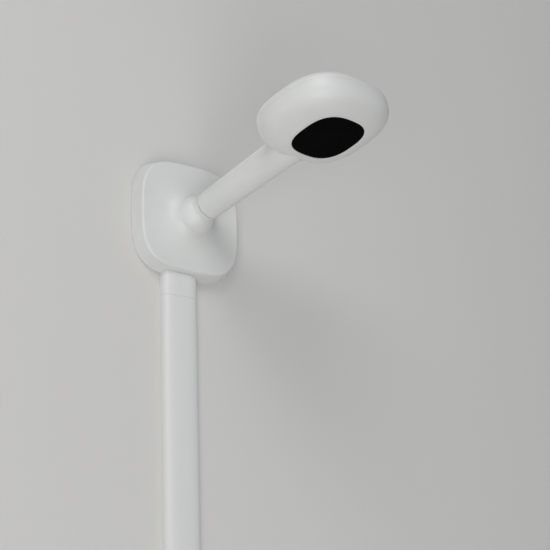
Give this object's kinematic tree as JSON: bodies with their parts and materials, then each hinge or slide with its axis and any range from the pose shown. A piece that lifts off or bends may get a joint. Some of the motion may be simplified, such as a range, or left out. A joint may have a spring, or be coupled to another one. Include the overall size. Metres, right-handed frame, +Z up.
{
  "type": "overhead baby monitor camera",
  "caption": "Overhead baby monitor camera: rounded square wall plate, cable cover below it, and a straight arm on a ball joint that carries a pebble-shaped head with a black window.",
  "frame": {"origin": "centre of the wall bracket's flat back face, on the wall", "axes": "+Y into the wall, -Y into the room, +Z up, +X to the right when facing the wall"},
  "size_m": [0.1294, 0.2206, 0.3944],
  "materials": {
    "shell_white": "fine satin moulded ABS, off-white",
    "cover_white": "satin extruded PVC, off-white",
    "frame_plastic": "moulded glass-filled plastic, pale grey",
    "bearing_plastic": "low-friction acetal",
    "pin_steel": "turned steel",
    "shield_metal": "tinned pressed steel and aluminium",
    "collar_grey": "dull grey plastic in a shadow gap",
    "window_black": "polished black infrared-passing plastic",
    "gasket_rubber": "closed-cell foam gasket",
    "optics_black": "matt black moulded plastic",
    "lens_clear": "coated optical glass",
    "diffuser": "milky light-guide plastic",
    "board_green": "solder-masked circuit board",
    "chip_black": "black moulded components",
    "lamp_lens": "clear epoxy lamp bodies",
    "lead_jacket": "soft cable jacket",
    "tape_foam": "acrylic foam tape"
  },
  "bodies": {
    "wall_mount": {"wall_bracket": "frame_plastic", "base_frame": "frame_plastic", "base_cover": "shell_white", "ball_seat": "bearing_plastic", "pan_pins": "pin_steel", "base_board": "board_green", "power_inlet": "shield_metal", "base_lead": "lead_jacket", "base_screws": "pin_steel", "latch_spring": "pin_steel", "cover_stub": "cover_white", "cover_front": "cover_white", "cover_rail": "cover_white", "cover_joiner": "cover_white", "cover_tape": "tape_foam"},
    "pan_yoke": {"pivot_ring": "pin_steel"},
    "camera_unit": {"arm_ball": "shell_white", "tilt_pins": "pin_steel", "arm_collar": "collar_grey", "arm_tube": "shell_white", "arm_harness": "lead_jacket", "arm_anchor": "frame_plastic", "anchor_screws": "pin_steel", "head_top_shell": "shell_white", "head_bottom_shell": "shell_white", "shell_screws": "pin_steel", "window": "window_black", "window_gasket": "gasket_rubber", "lens_barrel": "optics_black", "lens_glass": "lens_clear", "lens_mount": "optics_black", "filter_motor": "optics_black", "sensor_board": "board_green", "image_sensor": "chip_black", "lamp_board": "board_green", "infrared_lamps": "lamp_lens", "main_board": "board_green", "board_link": "chip_black", "harness_plug": "chip_black", "radio_module": "shield_metal", "heat_spreader": "shield_metal", "button_board": "board_green", "button_switch": "chip_black", "reset_switch": "chip_black", "night_lights": "lamp_lens", "microphone": "chip_black", "speaker": "optics_black", "light_ring": "diffuser"},
    "release_latch": {"release_latch": "frame_plastic"},
    "light_button": {"light_button": "shell_white"},
    "reset_button": {"reset_button": "frame_plastic"},
    "filter_slider": {"filter_blade": "bearing_plastic", "filter_panes": "lens_clear"}
  },
  "joints": [
    {"name": "arm_pan", "type": "hinge", "parent": "wall_mount", "child": "pan_yoke", "pos_m": [0, -0.017, 0], "axis": [0, 0, 1], "range_deg": [-27.3, 8.7]},
    {"name": "arm_tilt", "type": "hinge", "parent": "pan_yoke", "child": "camera_unit", "pos_m": [0, -0.017, 0], "axis": [-0.9869, -0.1616, 0], "range_deg": [-26.7, 5.3]},
    {"name": "latch_press", "type": "slide", "parent": "wall_mount", "child": "release_latch", "axis": [0, 0, -1], "range_m": [0, 0.0015], "stiffness_N_per_m": 1500, "springref_m": -0.001, "deforming": ["latch_spring"]},
    {"name": "light_button_press", "type": "slide", "parent": "camera_unit", "child": "light_button", "axis": [0.0355, -0.217, -0.9755], "range_m": [0, 0.0008], "stiffness_N_per_m": 2500, "springref_m": -0.0005},
    {"name": "reset_button_press", "type": "slide", "parent": "camera_unit", "child": "reset_button", "axis": [0.0355, -0.217, -0.9755], "range_m": [0, 0.0006], "stiffness_N_per_m": 2500, "springref_m": -0.0004},
    {"name": "filter_slide", "type": "slide", "parent": "camera_unit", "child": "filter_slider", "axis": [0.9869, 0.1616, 0], "range_m": [0, 0.0055]}
  ]
}
